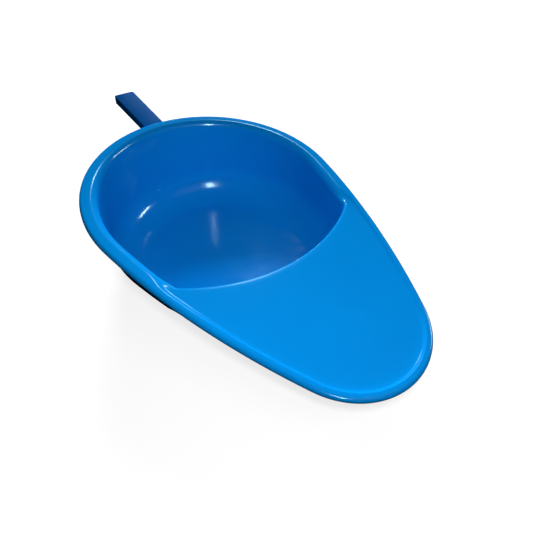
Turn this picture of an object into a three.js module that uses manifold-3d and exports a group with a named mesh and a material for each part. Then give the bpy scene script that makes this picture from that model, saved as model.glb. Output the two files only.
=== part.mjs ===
// A slipper bedpan moulded in plastic, with a separate handle screwed into a socket under its rim.
//
// The part's frame, in millimetres: +X runs along the pan from the handle's side to the low tip, +Y is
// across it and +Z is up. The origin is on the table, at the centre of the flat base under the round end.
//
// The rim lies in one plane, which falls from the deep round end to the tip. Shapes are drawn in the
// rim's own frame: u along the rim towards the tip, v across it and n square to it, with n = 0 on the
// rim's top face and u = v = 0 at the centre of the round end. A group tilts it into the part's frame.

import * as THREE from "three";
import { ParametricGeometry } from "three/addons/geometries/ParametricGeometry.js";
import { mergeVertices } from "three/addons/utils/BufferGeometryUtils.js";
import Module from "manifold-3d";

const wasm = await Module();
wasm.setup();

const DEGREE = Math.PI / 180;

// ---- Driving dimensions of the pan, in millimetres ----

const BODY_LENGTH = 400; // along the rim, from the back of the bowl to the tip
const BACK_RADIUS = 134; // of the rim's round back end, which makes the pan 268 wide
const TIP_RADIUS = 73; // of the rim's round tip
const SIDE_RADIUS = 735; // of the gently bowed sides between the two ends
const BACK_HEIGHT = 104; // from the table to the rim at the back
const RIM_TILT = 9 * DEGREE; // between the rim's plane and the table
const WALL = 2.5; // thickness of the moulding
const RIM_FLAT = 8.5; // from the rim's outer edge to where its top starts to turn down into the bowl
const RIM_EDGE_ROUND = 3; // radius of the rim's outer corner
const SKIRT_DEPTH = 5; // of the turned-down edge, from the rim's top
const MOUTH_ROUND = 8.5; // radius from the rim's top into the bowl's wall
const WALL_DRAFT = 1.5 * DEGREE; // lean of the bowl's upright wall for the mould
const FLOOR_ROUND = 36; // radius between the wall and the floor, inside
const LIP_RADIUS = 176; // of the curved edge where the apron ends over the bowl, seen from above
const LIP_REACH = 256; // from the back of the rim to that edge, on the centreline
const APRON_RECESS = 2; // of the apron's face below the rim's top
const APRON_BORDER = 8; // width of the level border round the apron
const APRON_EASE = 3.5; // width of the slope from the border down to the apron's face

// ---- Driving dimensions of the handle and its fixing, in millimetres ----

const HANDLE_REACH = 82; // beyond the back of the rim
const HANDLE_ROOT_WIDTH = 23.5; // where it leaves the rim
const HANDLE_END_WIDTH = 25.5; // at its far end
const HANDLE_THICKNESS = 10;
const HANDLE_WALL = 3; // of the channel section, which is open underneath
const HANDLE_CORNER = 3; // radius of the far corners
const HANDLE_BLOCK = 22; // length of the solid inner end that takes the screws
const SEAT_GAP = 0.3; // between pieces that touch
const SOCKET_WALL = 2.5; // sides and floor of the socket moulded under the rim
const SOCKET_SETBACK = 3; // of the socket's open end from the rim's edge
const SCREW_SPACING = 12; // across the handle
const SCREW_SHANK_RADIUS = 1.75;
const SCREW_HEAD_RADIUS = 3.5;
const SCREW_HEAD_HEIGHT = 2.4;
const SCREW_GRIP = 7; // how far each screw reaches into the handle
const SCREW_POINT = 1.5; // length of the tapered point

// ---- Fineness of the curved faces ----

const BACK_STEPS = 32; // round the back of the rim
const SIDE_STEPS = 8; // along each side
const TIP_STEPS = 16; // round the tip
const DRUM_STEPS = 64; // round the full circle of the lip
const ROUND_STEPS = 6; // across each floor rounding
const MOUTH_STEPS = 5; // across the mouth rounding
const EDGE_STEPS = 3; // across the rim's outer corner
const SCREW_STEPS = 24;
const CUT_MARGIN = 10; // how far a cutting solid stands past the face it cuts
const CUT_OVERLAP = 1; // how far two cuts that meet run into each other

// ---- Values that follow from them ----

const TIP_CENTRE = BODY_LENGTH - BACK_RADIUS - TIP_RADIUS;
const LIP_CENTRE = LIP_REACH - BACK_RADIUS - LIP_RADIUS;
const RIM_ORIGIN_HEIGHT = BACK_HEIGHT - BACK_RADIUS * Math.sin(RIM_TILT);
const APRON_UNDERSIDE = -(APRON_RECESS + WALL);
const HANDLE_TOP = -WALL;
const SOCKET_ROOF = HANDLE_TOP + SEAT_GAP;
const HANDLE_BOTTOM = HANDLE_TOP - HANDLE_THICKNESS;
const SOCKET_FLOOR_TOP = HANDLE_BOTTOM - SEAT_GAP;
const SOCKET_BOTTOM = SOCKET_FLOOR_TOP - SOCKET_WALL;
const BOWL_OUTSIDE = BACK_RADIUS - RIM_FLAT - MOUTH_ROUND + WALL; // radius of the bowl's outside at the back
const HANDLE_INNER_END = -(BOWL_OUTSIDE + WALL);
const HANDLE_OUTER_END = -(BACK_RADIUS + HANDLE_REACH);
const SOCKET_MOUTH = -(BACK_RADIUS - SOCKET_SETBACK);
const SCREW_PLACE = (HANDLE_INNER_END + SOCKET_MOUTH) / 2;

// ---- Outlines: arcs given by the direction in which they face ----

// The centre of a side's arc, which touches both end arcs from outside.
function sideCentre() {
  const toBack = SIDE_RADIUS - BACK_RADIUS;
  const toTip = SIDE_RADIUS - TIP_RADIUS;
  const u = (toBack ** 2 - toTip ** 2 + TIP_CENTRE ** 2) / (2 * TIP_CENTRE);
  return new THREE.Vector2(u, -Math.sqrt(toBack ** 2 - u ** 2));
}

const SIDE = sideCentre();
const BACK_TO_SIDE = Math.atan2(-SIDE.y, -SIDE.x); // direction faced where the back meets the side
const SIDE_TO_TIP = Math.atan2(-SIDE.y, TIP_CENTRE - SIDE.x); // and where the side meets the tip

// The arc of the rim's outline that faces a direction: its centre and radius.
function rimArc(facing) {
  const turn = Math.abs(facing);
  if (turn > BACK_TO_SIDE) return { centre: new THREE.Vector2(0, 0), radius: BACK_RADIUS };
  if (turn < SIDE_TO_TIP) return { centre: new THREE.Vector2(TIP_CENTRE, 0), radius: TIP_RADIUS };
  return { centre: new THREE.Vector2(SIDE.x, Math.sign(facing) * SIDE.y), radius: SIDE_RADIUS };
}

// The circle of the lip, the same in every direction.
function lipArc() {
  return { centre: new THREE.Vector2(LIP_CENTRE, 0), radius: LIP_RADIUS };
}

// Evenly spaced values from one to another, without the last.
function spread(from, to, steps) {
  return Array.from({ length: steps }, (_, i) => from + ((to - from) * i) / steps);
}

// The directions of the rim's sections. Two of them face straight out sideways, where the pan is widest.
const RIM_FACINGS = [
  -Math.PI / 2,
  Math.PI / 2,
  ...spread(-Math.PI, -BACK_TO_SIDE, BACK_STEPS / 2),
  ...spread(-BACK_TO_SIDE, -SIDE_TO_TIP, SIDE_STEPS),
  ...spread(-SIDE_TO_TIP, SIDE_TO_TIP, TIP_STEPS),
  ...spread(SIDE_TO_TIP, BACK_TO_SIDE, SIDE_STEPS),
  ...spread(BACK_TO_SIDE, Math.PI, BACK_STEPS / 2),
].sort((a, b) => a - b);
const DRUM_FACINGS = spread(-Math.PI, Math.PI, DRUM_STEPS);

// A point of an outline, moved inwards by inset and raised to n.
function outlinePoint(arc, facing, inset, n) {
  const reach = arc.radius - inset;
  return new THREE.Vector3(
    arc.centre.x + reach * Math.cos(facing),
    arc.centre.y + reach * Math.sin(facing),
    n,
  );
}

// ---- Sections: lists of (inset, n) seen square to an outline ----

// Points on an arc, from one direction to another; directions are measured from +inset towards +n.
function arcPoints(centre, radius, from, to, steps) {
  return Array.from({ length: steps + 1 }, (_, i) => {
    const angle = from + ((to - from) * i) / steps;
    return new THREE.Vector2(centre.x + radius * Math.cos(angle), centre.y + radius * Math.sin(angle));
  });
}

// The n at which the level plane at a height above the table is met at u.
function levelPlane(height, u) {
  return (height - RIM_ORIGIN_HEIGHT) / Math.cos(RIM_TILT) + u * Math.tan(RIM_TILT);
}

// The angle in a section between the wall and the rim's normal: the wall stands upright on the table,
// apart from its draft, so it leans most at the back and the other way at the lip.
function wallLean(facing) {
  return WALL_DRAFT - Math.atan(Math.cos(facing) * Math.tan(RIM_TILT));
}

// The rounding between the wall through wallPoint and the level floor, from the floor up to the wall.
function floorRounding(arc, facing, wallPoint, floorHeight, radius) {
  const lean = wallLean(facing);
  const wallDown = new THREE.Vector2(Math.sin(lean), -Math.cos(lean));
  const wallFace = new THREE.Vector2(Math.cos(lean), Math.sin(lean));
  const slope = -Math.cos(facing) * Math.tan(RIM_TILT);
  const edge = outlinePoint(arc, facing, 0, 0);
  const floorStart = new THREE.Vector2(0, levelPlane(floorHeight, edge.x));
  const floorFace = new THREE.Vector2(-slope, 1).normalize();
  const centre = wallPoint.clone().addScaledVector(wallFace, radius);
  const climb = (radius - centre.clone().sub(floorStart).dot(floorFace)) / wallDown.dot(floorFace);
  centre.addScaledVector(wallDown, climb);
  const fromFloor = Math.atan2(-floorFace.y, -floorFace.x);
  const toWall = -Math.PI + lean;
  return arcPoints(centre, radius, fromFloor, toWall, ROUND_STEPS);
}

// The bowl's section from its floor to the top of its mouth rounding. growth is 0 for the inside face
// and WALL for the outside face.
function bowlSection(facing, growth) {
  const arc = rimArc(facing);
  const mouthCentre = new THREE.Vector2(RIM_FLAT, -MOUTH_ROUND);
  const mouth = arcPoints(mouthCentre, MOUTH_ROUND - growth, wallLean(facing), Math.PI / 2, MOUTH_STEPS);
  const rounding = floorRounding(arc, facing, mouth[0], WALL - growth, FLOOR_ROUND + growth);
  return [...rounding, ...mouth];
}

// ---- Solids ----

// A closed surface through sections of points, which all start and end at the same two poles.
function sectionsGeometry(sections) {
  const around = sections.length;
  const across = sections[0].length - 1;
  const pick = (s, t, target) => {
    const section = sections[Math.round(s * around) % around];
    return target.copy(section[Math.round(t * across)]);
  };
  return new ParametricGeometry(pick, around, across);
}

// A manifold-3d solid from a closed three.js geometry.
function solidFrom(geometry) {
  const bare = new THREE.BufferGeometry();
  bare.setAttribute("position", geometry.getAttribute("position"));
  bare.setIndex(geometry.getIndex());
  const merged = mergeVertices(bare, 1e-4);
  return new wasm.Manifold(
    new wasm.Mesh({
      numProp: 3,
      vertProperties: merged.getAttribute("position").array,
      triVerts: new Uint32Array(merged.getIndex().array),
    }),
  );
}

// A three.js geometry from a manifold-3d solid.
function geometryFrom(solid) {
  const mesh = solid.getMesh();
  const geometry = new THREE.BufferGeometry();
  geometry.setAttribute("position", new THREE.BufferAttribute(mesh.vertProperties, mesh.numProp));
  geometry.setIndex(new THREE.BufferAttribute(mesh.triVerts, 1));
  const faceted = geometry.toNonIndexed();
  faceted.computeVertexNormals();
  return faceted;
}

// A solid whose section follows an outline, closed by a pole at each end of the section.
function sweptSolid(facings, arcOf, sectionOf, lowPole, highPole) {
  const sections = facings.map((facing) => {
    const points = sectionOf(facing).map((p) => outlinePoint(arcOf(facing), facing, p.x, p.y));
    return [lowPole, ...points, highPole];
  });
  return solidFrom(sectionsGeometry(sections));
}

// A box between two corners of the rim's frame.
function boxSolid(low, high) {
  const size = high.clone().sub(low);
  const middle = low.clone().add(high).multiplyScalar(0.5);
  const geometry = new THREE.BoxGeometry(size.x, size.y, size.z);
  return solidFrom(geometry.translate(middle.x, middle.y, middle.z));
}

// A round pin along n, from one height to another.
function pinSolid(radius, u, v, low, high) {
  const geometry = new THREE.CylinderGeometry(radius, radius, high - low, SCREW_STEPS);
  return solidFrom(geometry.rotateX(Math.PI / 2).translate(u, v, (low + high) / 2));
}

// A prism of the rim's outline, moved inwards by one inset at its foot and another at its head.
function rimPrism(lowInset, highInset, low, high) {
  const section = () => [new THREE.Vector2(lowInset, low), new THREE.Vector2(highInset, high)];
  const middle = TIP_CENTRE / 2;
  return sweptSolid(
    RIM_FACINGS,
    rimArc,
    section,
    new THREE.Vector3(middle, 0, low),
    new THREE.Vector3(middle, 0, high),
  );
}

// The whole outside of the pan, filled level with the rim.
function outerForm() {
  const edgeCentre = new THREE.Vector2(RIM_EDGE_ROUND, -RIM_EDGE_ROUND);
  const section = (facing) => [
    ...bowlSection(facing, WALL),
    new THREE.Vector2(WALL, -WALL),
    new THREE.Vector2(WALL, -SKIRT_DEPTH),
    new THREE.Vector2(0, -SKIRT_DEPTH),
    ...arcPoints(edgeCentre, RIM_EDGE_ROUND, Math.PI, Math.PI / 2, EDGE_STEPS),
  ];
  return sweptSolid(
    RIM_FACINGS,
    rimArc,
    section,
    new THREE.Vector3(0, 0, levelPlane(0, 0)),
    new THREE.Vector3(0, 0, 0),
  );
}

// The space inside the bowl's rounded wall, as if it ran on under the apron.
function innerForm() {
  const section = (facing) => [...bowlSection(facing, 0), new THREE.Vector2(RIM_FLAT, CUT_MARGIN)];
  return sweptSolid(
    RIM_FACINGS,
    rimArc,
    section,
    new THREE.Vector3(0, 0, levelPlane(WALL, 0)),
    new THREE.Vector3(0, 0, CUT_MARGIN),
  );
}

// The drum whose wall closes the bowl under the lip. growth is 0 for its inside face and WALL for its
// outside face.
function lipDrum(growth) {
  const section = (facing) => {
    const wallPoint = new THREE.Vector2(-growth, 0);
    const rounding = floorRounding(lipArc(), facing, wallPoint, WALL - growth, FLOOR_ROUND + growth);
    return [...rounding, new THREE.Vector2(-growth - CUT_MARGIN * Math.tan(wallLean(facing)), CUT_MARGIN)];
  };
  return sweptSolid(
    DRUM_FACINGS,
    lipArc,
    section,
    new THREE.Vector3(0, 0, levelPlane(WALL - growth, 0)),
    new THREE.Vector3(0, 0, CUT_MARGIN),
  );
}

// ---- Sub-parts ----

// The pan: bowl, rim, skirt and apron in one moulding, with the handle's socket under the rim.
function panGeometry() {
  const cavity = innerForm().intersect(lipDrum(0));
  const underApron = rimPrism(RIM_FLAT, RIM_FLAT, -BACK_HEIGHT - CUT_MARGIN, APRON_UNDERSIDE);
  const recess = rimPrism(
    APRON_BORDER + APRON_EASE,
    APRON_BORDER - (APRON_EASE * CUT_MARGIN) / APRON_RECESS,
    -APRON_RECESS,
    CUT_MARGIN,
  );
  const halfBore = handleHalfWidth(-BACK_RADIUS) + SEAT_GAP;
  const socket = boxSolid(
    new THREE.Vector3(SOCKET_MOUTH, -halfBore - SOCKET_WALL, SOCKET_BOTTOM),
    new THREE.Vector3(-BOWL_OUTSIDE + WALL, halfBore + SOCKET_WALL, -WALL / 2),
  );
  const socketBore = boxSolid(
    new THREE.Vector3(-BACK_RADIUS - CUT_MARGIN, -halfBore, SOCKET_FLOOR_TOP),
    new THREE.Vector3(HANDLE_INNER_END + SEAT_GAP, halfBore, SOCKET_ROOF),
  );
  let pan = outerForm()
    .add(socket)
    .subtract(cavity)
    .subtract(underApron.subtract(lipDrum(WALL)))
    .subtract(recess.subtract(lipDrum(-CUT_OVERLAP)))
    .subtract(socketBore);
  for (const v of [-SCREW_SPACING / 2, SCREW_SPACING / 2]) {
    const hole = pinSolid(
      SCREW_SHANK_RADIUS + SEAT_GAP,
      SCREW_PLACE,
      v,
      SOCKET_BOTTOM - CUT_MARGIN,
      SOCKET_FLOOR_TOP + SEAT_GAP,
    );
    pan = pan.subtract(hole);
  }
  return geometryFrom(pan);
}

// Half the handle's width at u, which grows evenly from its inner end to its far end.
function handleHalfWidth(u) {
  const share = (HANDLE_INNER_END - u) / (HANDLE_INNER_END - HANDLE_OUTER_END);
  return (HANDLE_ROOT_WIDTH + (HANDLE_END_WIDTH - HANDLE_ROOT_WIDTH) * share) / 2;
}

// The handle's plan from one u to another, drawn in by inset, with its far corners rounded.
function handlePlan(innerEnd, outerEnd, inset, corner) {
  const innerHalf = handleHalfWidth(innerEnd) - inset;
  const outerHalf = handleHalfWidth(outerEnd) - inset;
  const shape = new THREE.Shape();
  shape.moveTo(innerEnd, innerHalf);
  shape.lineTo(outerEnd + corner, outerHalf);
  shape.quadraticCurveTo(outerEnd, outerHalf, outerEnd, outerHalf - corner);
  shape.lineTo(outerEnd, corner - outerHalf);
  shape.quadraticCurveTo(outerEnd, -outerHalf, outerEnd + corner, -outerHalf);
  shape.lineTo(innerEnd, -innerHalf);
  return shape;
}

// A plan extruded between two heights.
function plateSolid(shape, low, high) {
  const geometry = new THREE.ExtrudeGeometry(shape, { depth: high - low, bevelEnabled: false, curveSegments: 4 });
  return solidFrom(geometry.translate(0, 0, low));
}

// The handle: a channel open underneath, with a solid inner end that fills the socket.
function handleGeometry() {
  const bar = plateSolid(
    handlePlan(HANDLE_INNER_END, HANDLE_OUTER_END, 0, HANDLE_CORNER),
    HANDLE_BOTTOM,
    HANDLE_TOP,
  );
  const channel = plateSolid(
    handlePlan(HANDLE_INNER_END - HANDLE_BLOCK, HANDLE_OUTER_END + HANDLE_WALL, HANDLE_WALL, HANDLE_CORNER / 2),
    HANDLE_BOTTOM - CUT_MARGIN,
    HANDLE_TOP - HANDLE_WALL,
  );
  let handle = bar.subtract(channel);
  for (const v of [-SCREW_SPACING / 2, SCREW_SPACING / 2]) {
    const hole = pinSolid(
      SCREW_SHANK_RADIUS + SEAT_GAP,
      SCREW_PLACE,
      v,
      HANDLE_BOTTOM - CUT_MARGIN,
      HANDLE_BOTTOM + SCREW_GRIP + SEAT_GAP,
    );
    handle = handle.subtract(hole);
  }
  return geometryFrom(handle);
}

// A self-tapping screw along +Y of its own frame, with the underside of its head at 0.
function screwGeometry() {
  const reach = SEAT_GAP + SOCKET_WALL + SEAT_GAP + SCREW_GRIP;
  const profile = [
    new THREE.Vector2(0, -SCREW_HEAD_HEIGHT),
    new THREE.Vector2(SCREW_HEAD_RADIUS * 0.75, -SCREW_HEAD_HEIGHT),
    new THREE.Vector2(SCREW_HEAD_RADIUS, -SCREW_HEAD_HEIGHT / 2),
    new THREE.Vector2(SCREW_HEAD_RADIUS, 0),
    new THREE.Vector2(SCREW_SHANK_RADIUS, 0),
    new THREE.Vector2(SCREW_SHANK_RADIUS, reach - SCREW_POINT),
    new THREE.Vector2(0, reach),
  ];
  return new THREE.LatheGeometry(profile, SCREW_STEPS);
}

// ---- Finishes ----

const PAN_BLUE = new THREE.MeshStandardMaterial({ color: 0x0673c4, roughness: 0.22, metalness: 0 });
const HANDLE_BLUE = new THREE.MeshStandardMaterial({ color: 0x04457f, roughness: 0.45, metalness: 0 });
const STAINLESS = new THREE.MeshStandardMaterial({ color: 0xb9bcc0, roughness: 0.35, metalness: 1 });

// ---- Assembly ----

function namedMesh(name, geometry, material) {
  const mesh = new THREE.Mesh(geometry, material);
  mesh.name = name;
  return mesh;
}

const rimFrame = new THREE.Group();
rimFrame.rotation.y = RIM_TILT;
rimFrame.position.z = RIM_ORIGIN_HEIGHT;
rimFrame.add(namedMesh("pan_body", panGeometry(), PAN_BLUE));
rimFrame.add(namedMesh("handle", handleGeometry(), HANDLE_BLUE));

const SCREW_SIDES = { left: -SCREW_SPACING / 2, right: SCREW_SPACING / 2 };
for (const [side, v] of Object.entries(SCREW_SIDES)) {
  const screw = namedMesh(`handle_screw_${side}`, screwGeometry(), STAINLESS);
  screw.rotation.x = Math.PI / 2;
  screw.position.set(SCREW_PLACE, v, SOCKET_BOTTOM - SEAT_GAP);
  rimFrame.add(screw);
}

const bedpan = new THREE.Group();
bedpan.add(rimFrame);

export default bedpan;
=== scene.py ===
"""The looks of a slipper bedpan: a glossy moulded pan with a screwed-in handle under its rim.

Everything is in metres, in the part's own frame: +X from the handle's side to the low tip, +Y across
the pan and +Z up, with the table at zero. The rim lies in one tilted plane, so the shapes are worked
out in the rim's own frame, where u runs along the rim to the tip, v across it and n square to it.
"""

import logging
import math
from collections.abc import Callable, Iterator
from dataclasses import dataclass
from enum import Enum
from functools import cached_property, partial

import bmesh
import bpy
from mathutils import Matrix, Vector


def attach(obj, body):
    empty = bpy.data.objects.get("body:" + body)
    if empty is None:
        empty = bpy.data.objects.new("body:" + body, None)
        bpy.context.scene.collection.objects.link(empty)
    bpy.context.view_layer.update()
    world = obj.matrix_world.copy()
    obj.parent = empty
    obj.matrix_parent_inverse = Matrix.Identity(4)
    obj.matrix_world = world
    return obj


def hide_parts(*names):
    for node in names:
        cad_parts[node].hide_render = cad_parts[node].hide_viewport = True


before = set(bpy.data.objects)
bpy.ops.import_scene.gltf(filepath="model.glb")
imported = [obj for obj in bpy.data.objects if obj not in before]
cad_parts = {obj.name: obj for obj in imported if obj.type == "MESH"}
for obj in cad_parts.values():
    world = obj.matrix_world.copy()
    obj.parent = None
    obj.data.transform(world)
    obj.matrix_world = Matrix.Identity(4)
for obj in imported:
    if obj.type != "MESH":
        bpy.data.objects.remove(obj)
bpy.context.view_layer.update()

LOG = logging.getLogger("bedpan")
RIGHT_ANGLE = math.pi / 2
SAME_PLACE = 1e-7  # points nearer than this are one point
SHORT_WAY = 0.001  # a step that is long enough to find a direction from
HOLE_SIDES = 32
Place = Callable[[int], Vector]
Pair = tuple[float, float]
Triple = tuple[float, float, float]
Colour = Triple
BMesh = bmesh.types.BMesh
Object = bpy.types.Object
Socket = bpy.types.NodeSocket


class Body(Enum):
    """The bodies that pieces ride on."""

    ROOT = "root"


class Slot(Enum):
    """The material slots of the pieces."""

    PAN = "pan_plastic"
    HANDLE = "handle_plastic"
    SCREW = "screw_steel"


class Cut(Enum):
    """The ways one solid is worked with another."""

    JOIN = "UNION"
    REMOVE = "DIFFERENCE"


# ---- Shared geometry ----


def smooth_step(share: float) -> float:
    """Eases a share between 0 and 1 at both ends."""
    held = min(max(share, 0.0), 1.0)
    return held * held * (3.0 - 2.0 * held)


def steps(count: int) -> Iterator[float]:
    """The ends of a number of equal steps from 0 to 1, without the start."""
    return (step / count for step in range(1, count + 1))


def between(first: float, last: float, share: float) -> float:
    """The value a share of the way from one value to another."""
    return first + (last - first) * share


def heading(angle: float) -> Vector:
    """The unit vector in the rim's plane at an angle from +u."""
    return Vector((math.cos(angle), math.sin(angle), 0.0))


@dataclass(frozen=True)
class Arc:
    """A circle in the rim's plane."""

    centre: Vector
    radius: float

    def point(self, facing: float, growth: float = 0.0) -> Vector:
        """The point that faces a direction, on the circle grown by growth."""
        return self.centre + (self.radius + growth) * heading(facing)

    def crossing(self, other: "Arc", growth: float) -> Vector:
        """Finds where two circles cross.

        Args:
            other: The second circle.
            growth: How much both circles are grown first.

        Returns:
            The crossing nearer the tip.
        """
        apart = other.centre - self.centre
        mine = self.radius + growth
        theirs = other.radius + growth
        along = (mine**2 - theirs**2 + apart.length_squared) / (2 * apart.length)
        across = math.sqrt(mine**2 - along**2)
        ahead = apart.normalized()
        sideways = Vector((-ahead.y, ahead.x, 0.0))
        crossings = [self.centre + along * ahead + turn * across * sideways for turn in (-1, 1)]
        return max(crossings, key=lambda point: point.x)

    def facing(self, point: Vector) -> float:
        """The direction in which a point lies from the circle's centre."""
        offset = point - self.centre
        return math.atan2(offset.y, offset.x)


@dataclass(frozen=True)
class RimFrame:
    """The rim's own frame, which is tilted about the centre of the round end."""

    tilt: float = math.radians(9)
    back_height: float = 0.104
    back_radius: float = 0.134

    @cached_property
    def origin_height(self) -> float:
        """The height of the round end's centre above the table."""
        return self.back_height - self.back_radius * math.sin(self.tilt)

    @cached_property
    def matrix(self) -> Matrix:
        """The turn and lift from the rim's frame to the part's frame."""
        return Matrix.Translation((0, 0, self.origin_height)) @ Matrix.Rotation(self.tilt, 4, "Y")

    def lowered(self, point: Vector, height: float) -> Vector:
        """The place straight above or below a point, at a height over the table."""
        fall = self.origin_height - point.x * math.sin(self.tilt) + point.z * math.cos(self.tilt) - height
        return point + fall * Vector((math.sin(self.tilt), 0, -math.cos(self.tilt)))


# ---- Mesh helpers ----


def apply_modifiers(piece: Object) -> None:
    """Puts what an object's modifiers make into its mesh.

    Args:
        piece: The object, whose modifiers are removed.
    """
    graph = bpy.context.evaluated_depsgraph_get()
    finished = bpy.data.meshes.new_from_object(piece.evaluated_get(graph), depsgraph=graph)
    rough = piece.data
    piece.modifiers.clear()
    piece.data = finished
    finished.name = piece.name
    bpy.data.meshes.remove(rough)


def object_from(name: str, shape: BMesh, place: Matrix) -> Object:
    """Makes an object of a bmesh, which is used up.

    Args:
        name: The object's name.
        shape: The shape in its own frame.
        place: The move from that frame to the part's frame, which goes into the mesh.

    Returns:
        The new object, at the origin.
    """
    shape.transform(place)
    mesh = bpy.data.meshes.new(name)
    shape.to_mesh(mesh)
    shape.free()
    piece = bpy.data.objects.new(name, mesh)
    bpy.context.scene.collection.objects.link(piece)
    return piece


def work_with(piece: Object, tool: Object, cut: Cut) -> None:
    """Joins a tool to a piece or cuts it away, and discards the tool.

    Args:
        piece: The object that is changed.
        tool: The closed solid to work it with.
        cut: Whether the tool is joined or removed.
    """
    modifier = piece.modifiers.new("work", "BOOLEAN")
    modifier.operation = cut.value
    modifier.solver = "EXACT"
    modifier.object = tool
    apply_modifiers(piece)
    mesh = tool.data
    bpy.data.objects.remove(tool)
    bpy.data.meshes.remove(mesh)


def subdivide(piece: Object, levels: int) -> None:
    """Rounds a piece with a subdivision surface and applies it."""
    modifier = piece.modifiers.new("round", "SUBSURF")
    modifier.levels = levels
    modifier.render_levels = levels
    apply_modifiers(piece)


def shade(piece: Object, sharp_from: float) -> None:
    """Shades a piece smooth, apart from edges that turn by more than an angle."""
    for polygon in piece.data.polygons:
        polygon.use_smooth = True
    piece.data.set_sharp_from_angle(angle=sharp_from)


def soften(shape: BMesh, edges: list[bmesh.types.BMEdge], radius: float, segments: int) -> None:
    """Rounds edges of a shape.

    Args:
        shape: The shape.
        edges: The edges to round.
        radius: How far the rounding reaches from each edge.
        segments: How many faces it has.
    """
    bmesh.ops.bevel(
        shape,
        geom=edges,
        offset=radius,
        offset_type="OFFSET",
        segments=segments,
        profile=0.5,
        affect="EDGES",
        material=-1,
        clamp_overlap=True,
    )


def spin_point(
    shape: BMesh, point: bmesh.types.BMVert, centre: Vector, axis: Vector, angle: float, count: int
) -> bmesh.types.BMVert:
    """Draws an arc from a point.

    Args:
        shape: The shape that the arc is drawn in.
        point: Where the arc starts.
        centre: The arc's centre.
        axis: What it turns about.
        angle: How far it turns.
        count: How many edges it has.

    Returns:
        The arc's last point.
    """
    spun = bmesh.ops.spin(
        shape, geom=[point], cent=centre, axis=axis, angle=angle, steps=count, use_merge=False
    )
    return next(item for item in spun["geom_last"] if isinstance(item, bmesh.types.BMVert))


def block(low: Vector, high: Vector) -> BMesh:
    """A box between two corners."""
    shape = bmesh.new()
    size = high - low
    place = Matrix.Translation((low + high) / 2) @ Matrix.Diagonal((*size, 1.0))
    bmesh.ops.create_cube(shape, size=1.0, matrix=place)
    return shape


def pin(radius: float, foot: Vector, length: float) -> BMesh:
    """A round pin that stands along n on a point."""
    shape = bmesh.new()
    bmesh.ops.create_cone(
        shape,
        cap_ends=True,
        segments=HOLE_SIDES,
        radius1=radius,
        radius2=radius,
        depth=length,
        matrix=Matrix.Translation(foot + Vector((0, 0, length / 2))),
    )
    return shape


def dress(piece: Object, finish: "Finish", slot: Slot, *nodes: str) -> None:
    """Gives a piece its finish and its body, and hides the frame's nodes that it stands for.

    Args:
        piece: The finished piece.
        finish: The finish of its whole surface.
        slot: Not used.
        *nodes: The frame's nodes that it replaces.
    """
    piece.data.materials.clear()
    piece.data.materials.append(finish.material)
    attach(piece, Body.ROOT.value)
    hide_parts(*nodes)
    LOG.info("%s: %d faces", piece.name, len(piece.data.polygons))


# ---- Finishes ----


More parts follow.
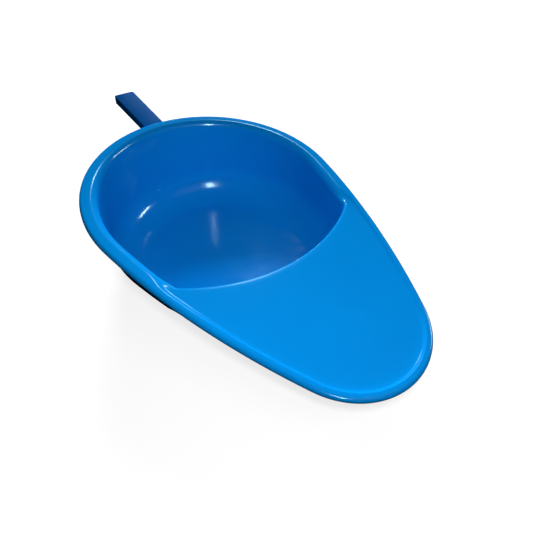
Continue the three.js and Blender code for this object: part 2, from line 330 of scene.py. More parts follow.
class Nodes:
    """A material's node tree, with a method for each kind of node that the finishes use."""

    def __init__(self, name: str) -> None:
        """Starts a material with its shader and its object coordinates."""
        self.material = bpy.data.materials.new(name)
        self.material.use_nodes = True
        self.tree = self.material.node_tree
        self.shader = self.tree.nodes["Principled BSDF"]
        self.place = self.add("TexCoord", {}).outputs["Object"]

    def add(self, kind: str, inputs: dict[str | int, object], **settings: object) -> bpy.types.Node:
        """Adds a node.

        Args:
            kind: The node's type, without the start that every shader node's type has.
            inputs: The socket that each input is linked to, or the value that it is set to.
            **settings: What the node itself is set to.

        Returns:
            The new node.
        """
        node = self.tree.nodes.new("ShaderNode" + kind)
        for name, setting in settings.items():
            setattr(node, name, setting)
        for name, value in inputs.items():
            if isinstance(value, Socket):
                self.tree.links.new(value, node.inputs[name])
            else:
                node.inputs[name].default_value = value
        return node

    def stretch(self, scale: Triple) -> Socket:
        """The object coordinates, scaled along each axis."""
        return self.add("Mapping", {"Vector": self.place, "Scale": scale}).outputs["Vector"]

    def dome(self, centre: Triple, radius: float) -> Socket:
        """A height that falls evenly from 1 at a point to 0 at a distance from it."""
        offset = tuple(-along / radius for along in centre)
        inputs = {"Vector": self.place, "Location": offset, "Scale": (1 / radius,) * 3}
        place = self.add("Mapping", inputs).outputs["Vector"]
        ball = self.add("TexGradient", {"Vector": place}, gradient_type="QUADRATIC_SPHERE")
        return ball.outputs["Fac"]

    def noise(self, vector: Socket, scale: float, detail: float) -> Socket:
        """A noise from 0 to 1.

        Args:
            vector: The coordinates that it follows.
            scale: How many features it has in a metre.
            detail: How many finer layers it has.

        Returns:
            The noise's value.
        """
        inputs = {"Scale": scale, "Detail": detail, "Vector": vector}
        return self.add("TexNoise", inputs).outputs["Fac"]

    def scale_range(self, value: Socket, start: Pair, end: Pair) -> Socket:
        """Maps one range of a value to another, and holds it there.

        Args:
            value: The value.
            start: The range that is read.
            end: The range that it becomes.

        Returns:
            The mapped value.
        """
        ends = {"From Min": start[0], "From Max": start[1], "To Min": end[0], "To Max": end[1]}
        return self.add("MapRange", {"Value": value, **ends}, clamp=True).outputs["Result"]

    def product(self, first: Socket, second: Socket) -> Socket:
        """One value times another."""
        return self.add("Math", {0: first, 1: second}, operation="MULTIPLY").outputs[0]

    def blend(self, share: Socket, first: Colour, second: Colour) -> Socket:
        """Mixes two colours by a share that changes over the surface.

        Args:
            share: How much of the second colour shows.
            first: The colour at 0.
            second: The colour at 1.

        Returns:
            The mixed colour.
        """
        inputs = {"Factor": share, "A": (*first, 1.0), "B": (*second, 1.0)}
        mix = self.add("Mix", inputs, data_type="RGBA")
        return next(out for out in mix.outputs if out.type == "RGBA")

    def relief(self, height: Socket, depth: float, strength: float) -> None:
        """Raises the surface by a height that runs from 0 to 1, over a depth in metres."""
        bump = self.add("Bump", {"Strength": strength, "Distance": depth, "Height": height})
        for below in self.shader.inputs["Normal"].links:
            self.tree.links.new(below.from_socket, bump.inputs["Normal"])
        self.feed("Normal", bump.outputs["Normal"])

    def feed(self, socket: str, value: Socket) -> None:
        """Links a value that changes over the surface to one of the shader's sockets."""
        self.tree.links.new(value, self.shader.inputs[socket])


@dataclass(frozen=True)
class Finish:
    """What every finish has: a name, a colour in linear light, and a gloss."""

    name: str
    colour: Colour
    mark_colour: Colour
    roughness: Pair

    @cached_property
    def material(self) -> bpy.types.Material:
        """The finish's material, made once."""
        nodes = Nodes(self.name)
        self.build(nodes)
        return nodes.material

    def build(self, nodes: Nodes) -> None:
        """Sets up the material's nodes."""
        raise NotImplementedError

    def colour_by(self, nodes: Nodes, mottle: Socket, reach: Pair) -> None:
        """Mixes the finish's two colours by a noise.

        Args:
            nodes: The material's nodes.
            mottle: The noise.
            reach: The range of the noise over which one colour turns into the other.
        """
        share = nodes.scale_range(mottle, reach, (0, 1))
        nodes.feed("Base Color", nodes.blend(share, self.colour, self.mark_colour))


@dataclass(frozen=True)
class GlossPlastic(Finish):
    """Moulded plastic with a high gloss: faint mottling, an eggshell skin, handling marks and a gate dot."""

    ior: float = 1.49
    specular: float = 0.5
    mottle_scale: float = 14.0
    mottle_reach: Pair = (0.3, 0.7)
    scuff_scale: float = 90.0
    scuff_stretch: Triple = (1.0, 5.0, 1.0)
    scuff_reach: Pair = (0.15, 0.4)
    skin_scale: float = 420.0
    skin_depth: float = 0.000012
    gate_place: Triple = (0.21876, 0.0017, 0.04637)
    gate_radius: float = 0.0021
    gate_height: float = 0.0003
    relief: float = 0.6

    def build(self, nodes: Nodes) -> None:
        """Sets up the colour's mottling, the marks in the gloss, and the relief."""
        nodes.shader.inputs["Specular IOR Level"].default_value = self.specular
        nodes.shader.inputs["IOR"].default_value = self.ior
        mottle = nodes.noise(nodes.place, self.mottle_scale, 3.0)
        self.colour_by(nodes, mottle, self.mottle_reach)
        scuffs = nodes.noise(nodes.stretch(self.scuff_stretch), self.scuff_scale, 6.0)
        patches = nodes.noise(nodes.place, self.mottle_scale * 2, 2.0)
        wear = nodes.product(scuffs, patches)
        nodes.feed("Roughness", nodes.scale_range(wear, self.scuff_reach, self.roughness))
        skin = nodes.noise(nodes.place, self.skin_scale, 2.0)
        nodes.relief(skin, self.skin_depth, self.relief)
        nodes.relief(nodes.dome(self.gate_place, self.gate_radius), self.gate_height, self.relief)


@dataclass(frozen=True)
class SatinPlastic(Finish):
    """Moulded plastic with a fine spark-eroded grain that dulls its gloss."""

    specular: float = 0.12
    mottle_scale: float = 30.0
    mottle_stretch: Triple = (0.4, 1.0, 1.0)
    mottle_reach: Pair = (0.35, 0.75)
    gloss_reach: Pair = (0.3, 0.7)
    grain_scale: float = 2600.0
    grain_depth: float = 0.00003
    relief: float = 0.5

    def build(self, nodes: Nodes) -> None:
        """Sets up the worn patches of the colour and the grain's relief."""
        nodes.shader.inputs["Specular IOR Level"].default_value = self.specular
        mottle = nodes.noise(nodes.stretch(self.mottle_stretch), self.mottle_scale, 4.0)
        self.colour_by(nodes, mottle, self.mottle_reach)
        nodes.feed("Roughness", nodes.scale_range(mottle, self.gloss_reach, self.roughness))
        nodes.relief(nodes.noise(nodes.place, self.grain_scale, 3.0), self.grain_depth, self.relief)


@dataclass(frozen=True)
class TurnedSteel(Finish):
    """Stainless steel with fine turning marks and a few duller spots."""

    spot_scale: float = 900.0
    spot_reach: Pair = (0.45, 0.75)
    gloss_reach: Pair = (0.3, 0.7)
    turning_scale: float = 1800.0
    turning_stretch: Triple = (0.15, 0.15, 1.0)
    turning_depth: float = 0.00002
    relief: float = 0.5

    def build(self, nodes: Nodes) -> None:
        """Sets up the metal, its spots and its turning marks."""
        nodes.shader.inputs["Metallic"].default_value = 1.0
        spots = nodes.noise(nodes.place, self.spot_scale, 3.0)
        self.colour_by(nodes, spots, self.spot_reach)
        nodes.feed("Roughness", nodes.scale_range(spots, self.gloss_reach, self.roughness))
        marks = nodes.noise(nodes.stretch(self.turning_stretch), self.turning_scale, 2.0)
        nodes.relief(marks, self.turning_depth, self.relief)


PAN_BLUE = GlossPlastic(
    name="pan_blue_gloss",
    colour=(0.001, 0.266, 0.76),
    mark_colour=(0.001, 0.250, 0.73),
    roughness=(0.12, 0.2),
)
HANDLE_NAVY = SatinPlastic(
    name="handle_navy_satin",
    colour=(0.001, 0.075, 0.30),
    mark_colour=(0.001, 0.090, 0.34),
    roughness=(0.38, 0.5),
)
STAINLESS = TurnedSteel(
    name="screw_stainless",
    colour=(0.62, 0.62, 0.63),
    mark_colour=(0.45, 0.45, 0.46),
    roughness=(0.22, 0.4),
)


# ---- The pan ----


@dataclass(frozen=True)
class PanPlan:
    """The pan seen square to its rim, as the half with v above 0.

    Rays run inwards from the rim's outline, counted from the back round to the tip. Those at the back
    and beside the bowl end on the bowl's wall, and the others cross the apron and end on its lip.
    """

    length: float = 0.400
    back_radius: float = 0.134
    tip_radius: float = 0.073
    side_radius: float = 0.735
    wall_inset: float = 0.017
    lip_radius: float = 0.176
    lip_reach: float = 0.256
    back_rays: int = 36
    side_rays: int = 18
    apron_side_rays: int = 10
    tip_rays: int = 14
    mouth_fade: float = 0.026

    @cached_property
    def back(self) -> Arc:
        """The rim's round back end."""
        return Arc(Vector((0, 0, 0)), self.back_radius)

    @cached_property
    def tip(self) -> Arc:
        """The rim's round tip."""
        return Arc(Vector((self.length - self.back_radius - self.tip_radius, 0, 0)), self.tip_radius)

    @cached_property
    def side(self) -> Arc:
        """The bowed side, which touches both ends from outside."""
        to_back = self.side_radius - self.back_radius
        to_tip = self.side_radius - self.tip_radius
        apart = self.tip.centre.x
        u = (to_back**2 - to_tip**2 + apart**2) / (2 * apart)
        return Arc(Vector((u, -math.sqrt(to_back**2 - u**2), 0)), self.side_radius)

    @cached_property
    def lip(self) -> Arc:
        """The lip over the bowl, at the face of the bowl's front wall."""
        return Arc(Vector((self.lip_reach - self.back_radius - self.lip_radius, 0, 0)), self.lip_radius)

    @cached_property
    def wall_side(self) -> Arc:
        """The bowl's wall beside the bowl."""
        return Arc(self.side.centre, self.side.radius - self.wall_inset)

    @cached_property
    def back_to_side(self) -> float:
        """The direction faced where the back meets the side."""
        return math.atan2(-self.side.centre.y, -self.side.centre.x)

    @cached_property
    def side_to_tip(self) -> float:
        """The direction faced where the side meets the tip."""
        return math.atan2(-self.side.centre.y, self.tip.centre.x - self.side.centre.x)

    @cached_property
    def corner_ray(self) -> int:
        """The ray that ends where the lip meets the wall."""
        return self.back_rays + self.side_rays

    @cached_property
    def last_ray(self) -> int:
        """The ray along the centreline at the tip."""
        return self.corner_ray + self.apron_side_rays + self.tip_rays

    @cached_property
    def corner_facing(self) -> float:
        """The direction that the side faces at that ray."""
        return self.side.facing(self.wall_side.crossing(self.lip, 0.0))

    def fade(self, ray: int) -> float:
        """How far a ray's section has changed from the bowl's mouth to the apron's lip."""
        if ray >= self.corner_ray:
            return 1.0
        spacing = self.side_radius * (self.back_to_side - self.corner_facing) / self.side_rays
        return smooth_step(1.0 - (self.corner_ray - ray) * spacing / self.mouth_fade)

    def rim_point(self, ray: int, inset: float) -> Vector:
        """Finds a ray's point at a distance inside the rim's outline.

        Args:
            ray: The ray.
            inset: The distance from the outline.

        Returns:
            The point in the rim's plane.
        """
        if ray <= self.back_rays:
            return self.back.point(between(math.pi, self.back_to_side, ray / self.back_rays), -inset)
        if ray <= self.corner_ray:
            share = (ray - self.back_rays) / self.side_rays
            return self.side.point(between(self.back_to_side, self.corner_facing, share), -inset)
        past = ray - self.corner_ray
        if past <= self.apron_side_rays:
            share = past / self.apron_side_rays
            return self.side.point(between(self.corner_facing, self.side_to_tip, share), -inset)
        share = (past - self.apron_side_rays) / self.tip_rays
        return self.tip.point(between(self.side_to_tip, 0.0, share), -inset)

    def bowl_point(self, ray: int, inset: float) -> Vector:
        """Finds a ray's point at a distance inside the bowl's wall.

        Args:
            ray: The ray.
            inset: The distance from the wall's face at its top, or less than 0 outside it.

        Returns:
            The point in the rim's plane.
        """
        if ray <= self.back_rays:
            return self.rim_point(ray, self.wall_inset + inset)
        corner = self.wall_side.crossing(self.lip, -inset)
        if ray < self.corner_ray:
            share = (ray - self.back_rays) / self.side_rays
            facing = between(self.back_to_side, self.wall_side.facing(corner), share)
            return self.wall_side.point(facing, -inset)
        share = (ray - self.corner_ray) / (self.last_ray - self.corner_ray)
        return self.lip.point(between(self.lip.facing(corner), 0.0, share), -inset)


@dataclass(frozen=True)
class PanSection:
    """The pan's section across its wall: what each ray's points rise and fall by."""

    wall: float = 0.0025
    rim_flat: float = 0.0085
    rim_guides: Pair = (0.55, 0.78)
    inner_guides: Pair = (0.62, 0.8)
    edge_round: float = 0.003
    skirt_depth: float = 0.005
    skirt_soft: float = 0.0008
    wall_draft: float = 0.0016
    floor_round: float = 0.036
    recess: float = 0.002
    border: float = 0.0052
    border_ease: float = 0.0044
    lip_round: float = 0.0024
    edge_steps: int = 5
    crease_steps: int = 4
    apron_steps: int = 5
    lip_steps: int = 4
    wall_steps: int = 5
    floor_round_steps: int = 8
    floor_steps: int = 4


@dataclass(frozen=True)
class PanFace:
    """One face of the moulding. Growth is how far it lies outside the bowl's inner face."""

    plan: PanPlan
    section: PanSection
    rim: RimFrame
    growth: float

    @cached_property
    def mouth_round(self) -> float:
        """The radius from the rim's flat into the bowl's wall."""
        return self.plan.wall_inset - self.section.rim_flat

    def on_rim(self, ray: int, inset: float, n: float) -> Vector:
        """A ray's point at an inset from the rim's outline, at n."""
        return self.plan.rim_point(ray, inset) + Vector((0, 0, n))

    def in_bowl(self, ray: int, inset: float, n: float) -> Vector:
        """A ray's point at an inset from the bowl's wall, at n."""
        return self.plan.bowl_point(ray, inset) + Vector((0, 0, n))

    def steepness(self, ray: int) -> float:
        """The angle from the rim's plane down to the bowl's wall, which stands upright on the table."""
        outward = self.plan.bowl_point(ray, -SHORT_WAY) - self.plan.bowl_point(ray, 0.0)
        return RIGHT_ANGLE + self.rim.tilt * outward.normalized().x

    def on_mouth(self, ray: int, share: float) -> Vector:
        """A point of the rounding from the rim's flat down to the bowl's wall."""
        turn = share * self.steepness(ray)
        radius = self.mouth_round - self.growth
        inset = self.section.rim_flat + radius * math.sin(turn)
        return self.on_rim(ray, inset, radius * math.cos(turn) - self.mouth_round)

    def on_apron(self, ray: int, step: int) -> Vector:
        """Finds a point between the rim's flat and the bowl's wall on a ray that crosses the apron.

        Args:
            ray: The ray.
            step: The count of rings inwards from the rim's flat: the crease, the face, then the lip.

        Returns:
            The point in the rim's frame.
        """
        section = self.section
        face_level = -section.recess - self.growth
        if step <= section.crease_steps:
            share = step / section.crease_steps
            inset = section.border + section.border_ease * share
            return self.on_rim(ray, inset, -self.growth - section.recess * smooth_step(share))
        step -= section.crease_steps
        lip_edge = -self.growth - section.lip_round
        if step <= section.apron_steps:
            outer = self.on_rim(ray, section.border + section.border_ease, face_level)
            return outer.lerp(self.in_bowl(ray, lip_edge, face_level), step / section.apron_steps)
        turn = (step - section.apron_steps) / section.lip_steps * self.steepness(ray)
        inset = lip_edge + section.lip_round * math.sin(turn)
        return self.in_bowl(ray, inset, face_level - section.lip_round * (1 - math.cos(turn)))

    @cached_property
    def mouth_steps(self) -> int:
        """The count of rings from the rim's flat to the top of the bowl's wall."""
        return self.section.crease_steps + self.section.apron_steps + self.section.lip_steps

    @cached_property
    def bowl_steps(self) -> int:
        """The count of rings from there to the middle of the floor."""
        return self.section.wall_steps + self.section.floor_round_steps + self.section.floor_steps

    def over_mouth(self, ray: int, step: int) -> Vector:
        """A point of the mouth's rounding or of the apron, or between them beside the lip's ends."""
        rounding = self.on_mouth(ray, step / self.mouth_steps)
        return rounding.lerp(self.on_apron(ray, step), self.plan.fade(ray))

    def below_mouth(self, ray: int, inset: float, height: float) -> Vector:
        """A point at an inset from the bowl's wall and a height above the table."""
        top = self.over_mouth(ray, self.mouth_steps)
        inwards = self.plan.bowl_point(ray, inset - self.growth) - self.plan.bowl_point(ray, -self.growth)
        return self.rim.lowered(top + inwards, height)

    def on_wall(self, ray: int, share: float) -> Vector:
        """A point of the bowl's wall, a share of the way down to the floor's rounding."""
        section = self.section
        foot = self.below_mouth(ray, section.wall_draft, section.wall + section.floor_round)
        return self.over_mouth(ray, self.mouth_steps).lerp(foot, share)

    def on_floor_round(self, ray: int, share: float) -> Vector:
        """A point of the rounding between the wall and the level floor."""
        radius = self.section.floor_round + self.growth
        turn = share * RIGHT_ANGLE
        inset = self.section.wall_draft + radius * (1 - math.cos(turn))
        height = self.section.wall - self.growth + radius * (1 - math.sin(turn))
        return self.below_mouth(ray, inset, height)

    def on_floor(self, ray: int, share: float) -> Vector:
        """A point of the floor, a share of the way from the end of its rounding to its middle."""
        middle = Vector((self.plan.lip_reach - self.plan.back_radius, 0, 0)) / 4
        floor = self.rim.lowered(middle, self.section.wall - self.growth)
        return self.on_floor_round(ray, 1.0).lerp(floor, share)

    def edge_profile(self) -> Iterator[Pair]:
        """The skirt and the rim's flat, as insets and heights from the skirt's foot inwards."""
        section = self.section
        soft = section.skirt_soft
        foot = -section.skirt_depth
        if self.growth > 0:
            wall = self.growth
            yield from ((wall - soft, foot), (wall - soft / 4, foot + soft / 4), (wall, foot + soft))
            yield from ((wall, -wall - soft), (wall + soft / 4, -wall - soft / 4), (wall + soft, -wall))
            yield from ((section.rim_flat * share, -wall) for share in section.inner_guides)
            return
        yield from ((soft, foot), (soft / 4, foot + soft / 4), (0.0, foot + soft))
        for share in (0.0, *steps(section.edge_steps)):
            turn = share * RIGHT_ANGLE
            radius = section.edge_round
            yield radius * (1 - math.cos(turn)), radius * (math.sin(turn) - 1)
        yield from ((section.rim_flat * share, 0.0) for share in section.rim_guides)

    def rings(self) -> Iterator[Place]:
        """The face's rings, from the skirt's foot to the middle of the floor.

        Returns:
            For each ring, the rule that gives the place of a ray's point.
        """
        section = self.section
        for inset, n in self.edge_profile():
            yield partial(self.on_rim, inset=inset, n=n)
        for step in range(1, self.mouth_steps + 1):
            yield partial(self.over_mouth, step=step)
        for share in steps(section.wall_steps):
            yield partial(self.on_wall, share=share)
        for share in steps(section.floor_round_steps):
            yield partial(self.on_floor_round, share=share)
        for share in steps(section.floor_steps):
            yield partial(self.on_floor, share=share)


@dataclass
class Pan:
    """The pan: one moulding with its bowl, rim, skirt, apron and the handle's socket."""

    handle: "Handle"
    plan: PanPlan = PanPlan()
    section: PanSection = PanSection()
    rim: RimFrame = RimFrame()
    socket_wall: float = 0.0025
    socket_setback: float = 0.003
    socket_soft: float = 0.0012
    socket_soft_steps: int = 3
    socket_arc_steps: int = 6
    corner_reach: int = 4
    corner_passes: int = 6
    sharp_from: float = math.radians(38)

    def first_ring(self, shape: BMesh) -> list[bmesh.types.BMEdge]:
        """Spins one point round the pan into the ring at the middle of the skirt's foot.

        Args:
            shape: The empty shape.

        Returns:
            The ring's edges.
        """
        plan = self.plan
        inset = self.section.wall / 2
        foot = Vector((0, 0, -self.section.skirt_depth))
        last = shape.verts.new(plan.rim_point(0, inset) + foot)
        runs = (
            (plan.back, math.pi - plan.back_to_side, plan.back_rays),
            (plan.side, plan.back_to_side - plan.corner_facing, plan.side_rays),
            (plan.side, plan.corner_facing - plan.side_to_tip, plan.apron_side_rays),
            (plan.tip, plan.side_to_tip, plan.tip_rays),
        )
        for arc, angle, count in runs:
            last = spin_point(shape, last, arc.centre, Vector((0, 0, -1)), angle, count)
        shape.verts.layers.int.new("deep")
        ray = shape.verts.layers.int.new("ray")
        for count, vert in enumerate(shape.verts):
            vert[ray] = count
        return list(shape.edges)

    def shell(self) -> BMesh:
        """Makes the closed shell of the bowl, rim and apron.

        Returns:
            The shell in the rim's frame.
        """
        shape = bmesh.new()
        start = self.first_ring(shape)
        ray = shape.verts.layers.int["ray"]
        deep = shape.verts.layers.int["deep"]
        for growth in (0.0, self.section.wall):
            face = PanFace(self.plan, self.section, self.rim, growth)
            edges = start
            rings = list(face.rings())
            for count, place in enumerate(rings):
                grown = bmesh.ops.extrude_edge_only(shape, edges=edges)["geom"]
                for vert in (item for item in grown if isinstance(item, bmesh.types.BMVert)):
                    vert.co = place(vert[ray])
                    vert[deep] = int(count >= len(rings) - face.bowl_steps)
                edges = [item for item in grown if isinstance(item, bmesh.types.BMEdge)]
        self.ease_corner(shape)
        for vert in shape.verts:
            if vert[ray] in (0, self.plan.last_ray):
                vert.co.y = 0.0
        bmesh.ops.remove_doubles(shape, verts=shape.verts, dist=SAME_PLACE)
        everything = [*shape.verts, *shape.edges, *shape.faces]
        bmesh.ops.mirror(shape, geom=everything, matrix=Matrix.Identity(4), merge_dist=SAME_PLACE, axis="Y")
        bmesh.ops.remove_doubles(shape, verts=shape.verts, dist=SAME_PLACE)
        bmesh.ops.recalc_face_normals(shape, faces=shape.faces)
        return shape

    def ease_corner(self, shape: BMesh) -> None:
        """Rounds the upright corners where the bowl's side walls meet its front wall."""
        ray = shape.verts.layers.int["ray"]
        deep = shape.verts.layers.int["deep"]
        corner_ray = self.plan.corner_ray
        beside = range(corner_ray - self.corner_reach, corner_ray + self.corner_reach + 1)
        wall = [vert for vert in shape.verts if vert[deep] and len(vert.link_edges) == 4]
        corner = [vert for vert in wall if vert[ray] in beside]
        shape.transform(self.rim.matrix)
        for _ in range(self.corner_passes):
            bmesh.ops.smooth_vert(
                shape, verts=corner, factor=0.5, use_axis_x=True, use_axis_y=True, use_axis_z=False
            )
        shape.transform(self.rim.matrix.inverted())

    def build(self) -> Object:
        """Makes the pan with its socket.

        Returns:
            The finished piece.
        """
        pan = object_from("pan_moulding", self.shell(), self.rim.matrix)
        subdivide(pan, 1)
        work_with(pan, self.socket_block(), Cut.JOIN)
        work_with(pan, self.socket_bore(), Cut.REMOVE)
        hole_length = 2 * (self.socket_wall + self.handle.gap)
        for v in self.handle.screw_places:
            foot = Vector((self.handle.screw_u, v, self.handle.bottom + self.handle.gap - hole_length))
            hole = pin(self.handle.screw_hole, foot, hole_length)
            work_with(pan, object_from("hole", hole, self.rim.matrix), Cut.REMOVE)
        shade(pan, self.sharp_from)
        dress(pan, PAN_BLUE, Slot.PAN, "pan_body")
        return pan

    def socket_block(self) -> Object:
        """Makes the block under the rim that holds the handle, with its outer edges softened.

        Returns:
            The block, whose inner end and top lie within the moulding's wall.
        """
        half = self.handle.bore_half + self.socket_wall
        mouth = -(self.plan.back_radius - self.socket_setback)
        floor = self.handle.bottom - self.handle.gap - self.socket_wall
        within = self.section.wall / 2
        mouth_round = self.plan.wall_inset - self.section.rim_flat
        bend = Vector((-self.plan.back_radius + self.section.rim_flat, -half, -mouth_round))
        shape = bmesh.new()
        top = shape.verts.new(bend + Vector((0, 0, mouth_round - within)))
        quarter = RIGHT_ANGLE - self.rim.tilt
        inner = spin_point(shape, top, bend, Vector((0, 1, 0)), quarter, self.socket_arc_steps).co
        shape.verts.new((inner.x + (inner.z - floor) * math.tan(self.rim.tilt), -half, floor))
        shape.verts.new((mouth, -half, floor))
        shape.verts.new((mouth, -half, -within))
        end = shape.faces.new(shape.verts)
        far = bmesh.ops.extrude_face_region(shape, geom=[end], use_keep_orig=True)["geom"]
        far_verts = [item for item in far if isinstance(item, bmesh.types.BMVert)]
        bmesh.ops.translate(shape, verts=far_verts, vec=(0, 2 * half, 0))
        bmesh.ops.recalc_face_normals(shape, faces=shape.faces)
        low = [edge for edge in shape.edges if max(vert.co.z for vert in edge.verts) < floor + within]
        outer = [edge for edge in shape.edges if max(vert.co.x for vert in edge.verts) < mouth + within]
        soften(shape, list({*low, *outer}), self.socket_soft, self.socket_soft_steps)
        return object_from("socket_block", shape, self.rim.matrix)

    def socket_bore(self) -> Object:
        """The space that the handle's inner end fills, with its clearance."""
        handle = self.handle
        low = Vector((handle.outer_end, -handle.bore_half, handle.bottom - handle.gap))
        high = Vector((handle.inner_end + handle.gap, handle.bore_half, handle.top + handle.gap))
        return object_from("socket_bore", block(low, high), self.rim.matrix)


# ---- The handle and its screws ----


@dataclass
class Handle:
    """The flat handle: a tapered bar, open underneath, with a solid inner end for the screws."""

    rim: RimFrame = RimFrame()
    inner_end: float = -0.122
    outer_end: float = -0.216
    root_width: float = 0.0235
    end_width: float = 0.0255
    top: float = -0.0025
    thickness: float = 0.010
    channel_wall: float = 0.003
    block_length: float = 0.022
    channel_draft: Pair = (0.99, 0.96)
    far_corner: float = 0.0028
    far_corner_steps: int = 5
    edge_soft: float = 0.0009
    edge_soft_steps: int = 3
    round_from: float = math.radians(40)
    sharp_from: float = math.radians(32)
    gap: float = 0.0003
    rim_radius: float = 0.134
    screw_u: float = -0.1265
    screw_spacing: float = 0.012
    screw_hole: float = 0.00205
    screw_grip: float = 0.007

    @cached_property
    def bottom(self) -> float:
        """The n of the handle's underside."""
        return self.top - self.thickness

    @cached_property
    def bore_half(self) -> float:
        """Half the width of the socket's bore."""
        return self.half_width(-self.rim_radius) + self.gap

    @cached_property
    def screw_places(self) -> Pair:
        """The v of the two screws."""
        return -self.screw_spacing / 2, self.screw_spacing / 2

    def half_width(self, u: float) -> float:
        """Half the handle's width at u."""
        share = (self.inner_end - u) / (self.inner_end - self.outer_end)
        return (self.root_width + (self.end_width - self.root_width) * share) / 2

    def bar(self) -> BMesh:
        """Makes the tapered bar with its channel and its rounded edges.

        Returns:
            The bar in the rim's frame.
        """
        shape = block(Vector((self.outer_end, -1, self.bottom)), Vector((self.inner_end, 1, self.top)))
        for vert in shape.verts:
            vert.co.y *= self.half_width(vert.co.x)
        everything = [*shape.verts, *shape.edges, *shape.faces]
        block_end = Vector((self.inner_end - self.block_length + self.channel_wall, 0, 0))
        along = (1, 0, 0)
        bmesh.ops.bisect_plane(shape, geom=everything, plane_co=block_end, plane_no=along, dist=SAME_PLACE)
        channel = min(shape.faces, key=self.low_then_far)
        bmesh.ops.inset_individual(shape, faces=[channel], thickness=self.channel_wall, use_even_offset=True)
        deep = bmesh.ops.extrude_discrete_faces(shape, faces=[channel])["faces"][0]
        centre = Matrix.Translation(-deep.calc_center_median())
        draft = Matrix.Diagonal((*self.channel_draft, 1.0, 1.0))
        bmesh.ops.transform(shape, matrix=draft, verts=deep.verts, space=centre)
        for vert in deep.verts:
            vert.co.z = self.top - self.channel_wall
        self.round_edges(shape)
        return shape

    def low_then_far(self, face: bmesh.types.BMFace) -> Pair:
        """How faces are ranked to find the underside's far one: by height, then by how far out they lie."""
        centre = face.calc_center_median()
        return round(centre.z, 5), centre.x

    def round_edges(self, shape: BMesh) -> None:
        """Rounds the far corners first, then every edge that is left sharp."""
        limit = self.outer_end + SAME_PLACE
        far = [edge for edge in shape.edges if all(vert.co.x < limit for vert in edge.verts)]
        upright = [edge for edge in far if abs(edge.verts[0].co.z - edge.verts[1].co.z) > self.thickness / 2]
        soften(shape, upright, self.far_corner, self.far_corner_steps)
        solid = [edge for edge in shape.edges if edge.is_manifold]
        sharp = [edge for edge in solid if edge.calc_face_angle() > self.round_from]
        soften(shape, sharp, self.edge_soft, self.edge_soft_steps)

    def build(self) -> Object:
        """Makes the handle with its screw holes.

        Returns:
            The finished piece.
        """
        handle = object_from("handle_bar", self.bar(), self.rim.matrix)
        for v in self.screw_places:
            foot = Vector((self.screw_u, v, self.bottom - self.screw_grip))
            hole = pin(self.screw_hole, foot, 2 * self.screw_grip + self.gap)
            work_with(handle, object_from("hole", hole, self.rim.matrix), Cut.REMOVE)
        shade(handle, self.sharp_from)
        dress(handle, HANDLE_NAVY, Slot.HANDLE, "handle")
        return handle


@dataclass
class HandleScrew:
    """A self-tapping screw with a domed head and a cross recess, driven up through the socket."""

    name: str
    node: str
    u: float
    v: float
    seat: float
    rim: RimFrame = RimFrame()
    head_radius: float = 0.0035
    head_height: float = 0.0024
    head_edge: float = 0.0007
    head_soft: float = 0.0001
    head_steps: int = 6
    core_radius: float = 0.00135
    crest_radius: float = 0.00175
    pitch: float = 0.0011
    flank: float = 0.35
    reach: float = 0.0101
    point: float = 0.0015
    recess_reach: float = 0.00217
    recess_width: float = 0.0009
    recess_depth: float = 0.0013
    sides: int = 40
    sharp_from: float = math.radians(35)

    def profile(self) -> Iterator[Pair]:
        """The screw's outline as radii and heights, from the middle of the head to the point."""
        yield 0.0, -self.head_height
        dome = self.head_height - self.head_edge
        for share in steps(self.head_steps):
            turn = share * RIGHT_ANGLE
            yield self.head_radius * math.sin(turn), -self.head_edge - dome * math.cos(turn)
        yield self.head_radius, -self.head_soft
        yield self.head_radius - self.head_soft, 0.0
        yield self.core_radius, 0.0
        height = self.pitch
        while height < self.reach - self.point:
            yield self.core_radius, height - self.pitch * self.flank
            yield self.crest_radius, height
            yield self.core_radius, height + self.pitch * self.flank
            height += self.pitch
        yield 0.0, self.reach

    def build(self) -> Object:
        """Makes the screw.

        Returns:
            The finished piece.
        """
        shape = bmesh.new()
        outline = [shape.verts.new((radius, 0, height)) for radius, height in self.profile()]
        edges = [shape.edges.new(pair) for pair in zip(outline, outline[1:])]
        bmesh.ops.spin(
            shape,
            geom=[*outline, *edges],
            cent=(0, 0, 0),
            axis=(0, 0, 1),
            angle=math.tau,
            steps=self.sides,
            use_merge=True,
        )
        bmesh.ops.remove_doubles(shape, verts=shape.verts, dist=SAME_PLACE)
        bmesh.ops.recalc_face_normals(shape, faces=shape.faces)
        place = self.rim.matrix @ Matrix.Translation((self.u, self.v, self.seat))
        screw = object_from(self.name, shape, place)
        arm = Vector((self.recess_reach, self.recess_width / 2, self.recess_depth))
        for turn in (0.0, RIGHT_ANGLE):
            slot = block(-arm, arm)
            height = Matrix.Translation((0, 0, -self.head_height)) @ Matrix.Rotation(turn, 4, "Z")
            work_with(screw, object_from("slot", slot, place @ height), Cut.REMOVE)
        shade(screw, self.sharp_from)
        dress(screw, STAINLESS, Slot.SCREW, self.node)
        return screw


# ---- Studio ----


WHITE = (1.0, 1.0, 1.0)
COOL = (0.6, 0.95, 1.0)


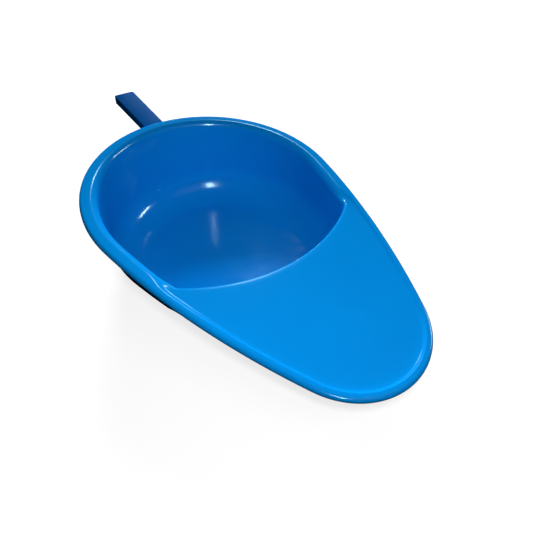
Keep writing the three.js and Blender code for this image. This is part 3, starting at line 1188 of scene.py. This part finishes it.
@dataclass
class Panel:
    """A lit rectangle that can be kept out of the gloss or out of the shading."""

    name: str
    place: Triple
    width: float
    height: float
    power: float
    colour: Colour = WHITE
    aim: Triple = (0.03, 0.0, 0.03)
    in_gloss: bool = True
    in_diffuse: bool = True

    def build(self) -> Object:
        """Hangs the light.

        Returns:
            The light's object.
        """
        light = bpy.data.lights.new(self.name, "AREA")
        light.shape = "RECTANGLE"
        light.size = self.width
        light.size_y = self.height
        light.energy = self.power
        light.color = self.colour
        lamp = bpy.data.objects.new(self.name, light)
        towards = Vector(self.aim) - Vector(self.place)
        turn = towards.to_track_quat("-Z", "Y").to_matrix().to_4x4()
        lamp.matrix_world = Matrix.Translation(self.place) @ turn
        lamp.visible_glossy = self.in_gloss
        lamp.visible_diffuse = self.in_diffuse
        bpy.context.scene.collection.objects.link(lamp)
        return lamp


def around(azimuth: float, elevation: float, distance: float) -> Triple:
    """The point in a direction from the pan, given in degrees from +X and above the table."""
    flat = distance * math.cos(math.radians(elevation))
    turn = math.radians(azimuth)
    return flat * math.cos(turn), flat * math.sin(turn), distance * math.sin(math.radians(elevation))


@dataclass
class Studio:
    """The pale floor, the lights and the camera."""

    floor_size: float = 14.0
    floor_drop: float = 0.0002
    floor_colour: Colour = (0.3, 0.3, 0.3)
    floor_roughness: float = 0.9
    floor_glow: float = 0.8
    backdrop: float = 1.0
    lens: float = 28.718
    sensor: float = 36.0
    nearest: float = 0.01
    eye: Triple = (0.332481, -0.192262, 0.318623)
    azimuth: float = math.radians(142.213)
    downward: float = math.radians(42.566)
    lights: tuple[Panel, ...] = (
        Panel("tip_light", (0.5, 0.1, 0.5), 0.3, 0.3, 0.72, in_gloss=False),
        Panel("front_light", (0.332, -0.19, 0.412), 0.05, 0.05, 1.12, in_gloss=False),
        Panel("low_back_light", around(150, 22, 1.7), 0.8, 0.8, 62, in_gloss=False),
        Panel("tall_light", around(-21, 42, 1.3), 0.045, 0.42, 7.0, COOL, in_diffuse=False),
        Panel("window_light", around(136, 51, 1.5), 0.14, 0.1, 1.6, COOL, in_diffuse=False),
        Panel("side_light", around(69, 26.5, 1.5), 0.42, 0.09, 5.0, COOL, in_diffuse=False),
    )

    def floor(self) -> None:
        """Lays the pale floor just under the pan, like a table lit from below."""
        shape = bmesh.new()
        bmesh.ops.create_grid(shape, x_segments=1, y_segments=1, size=self.floor_size / 2)
        floor = object_from("studio_floor", shape, Matrix.Translation((0, 0, -self.floor_drop)))
        material = bpy.data.materials.new("studio_floor_pale")
        material.use_nodes = True
        shader = material.node_tree.nodes["Principled BSDF"]
        looks = {
            "Base Color": (*self.floor_colour, 1.0),
            "Roughness": self.floor_roughness,
            "Specular IOR Level": 0.0,
            "Emission Color": (*WHITE, 1.0),
            "Emission Strength": self.floor_glow,
        }
        for name, value in looks.items():
            shader.inputs[name].default_value = value
        floor.data.materials.append(material)
        floor.visible_glossy = False
        floor.visible_diffuse = False

    def world(self) -> None:
        """Sets the white backdrop, which neither lights the pan nor shows in reflections."""
        world = bpy.data.worlds.new("studio_world")
        world.use_nodes = True
        background = world.node_tree.nodes["Background"]
        background.inputs["Color"].default_value = (*WHITE, 1.0)
        background.inputs["Strength"].default_value = self.backdrop
        bpy.context.scene.world = world
        world.cycles_visibility.diffuse = False
        world.cycles_visibility.glossy = False

    def camera(self) -> None:
        """Stands the camera over the tip, looking back along the pan."""
        data = bpy.data.cameras.new("camera")
        data.lens = self.lens
        data.sensor_width = self.sensor
        data.clip_start = self.nearest
        camera = bpy.data.objects.new("camera", data)
        ahead = Vector(around(math.degrees(self.azimuth), -math.degrees(self.downward), 1.0))
        turn = ahead.to_track_quat("-Z", "Y").to_matrix().to_4x4()
        camera.matrix_world = Matrix.Translation(self.eye) @ turn
        bpy.context.scene.collection.objects.link(camera)
        bpy.context.scene.camera = camera

    def build(self) -> None:
        """Sets up everything but the pan."""
        self.camera()
        self.floor()
        self.world()
        for light in self.lights:
            light.build()
        bpy.context.scene.view_settings.view_transform = "Standard"


def main() -> None:
    """Builds the studio and the pieces."""
    logging.basicConfig(level=logging.INFO, format="%(name)s: %(message)s")
    Studio().build()
    handle = Handle()
    Pan(handle).build()
    handle.build()
    seat = handle.bottom - handle.gap - Pan(handle).socket_wall - handle.gap
    for side, v in zip(("left", "right"), handle.screw_places):
        HandleScrew(f"screw_{side}", f"handle_screw_{side}", handle.screw_u, v, seat).build()


if __name__ == "__main__":
    main()
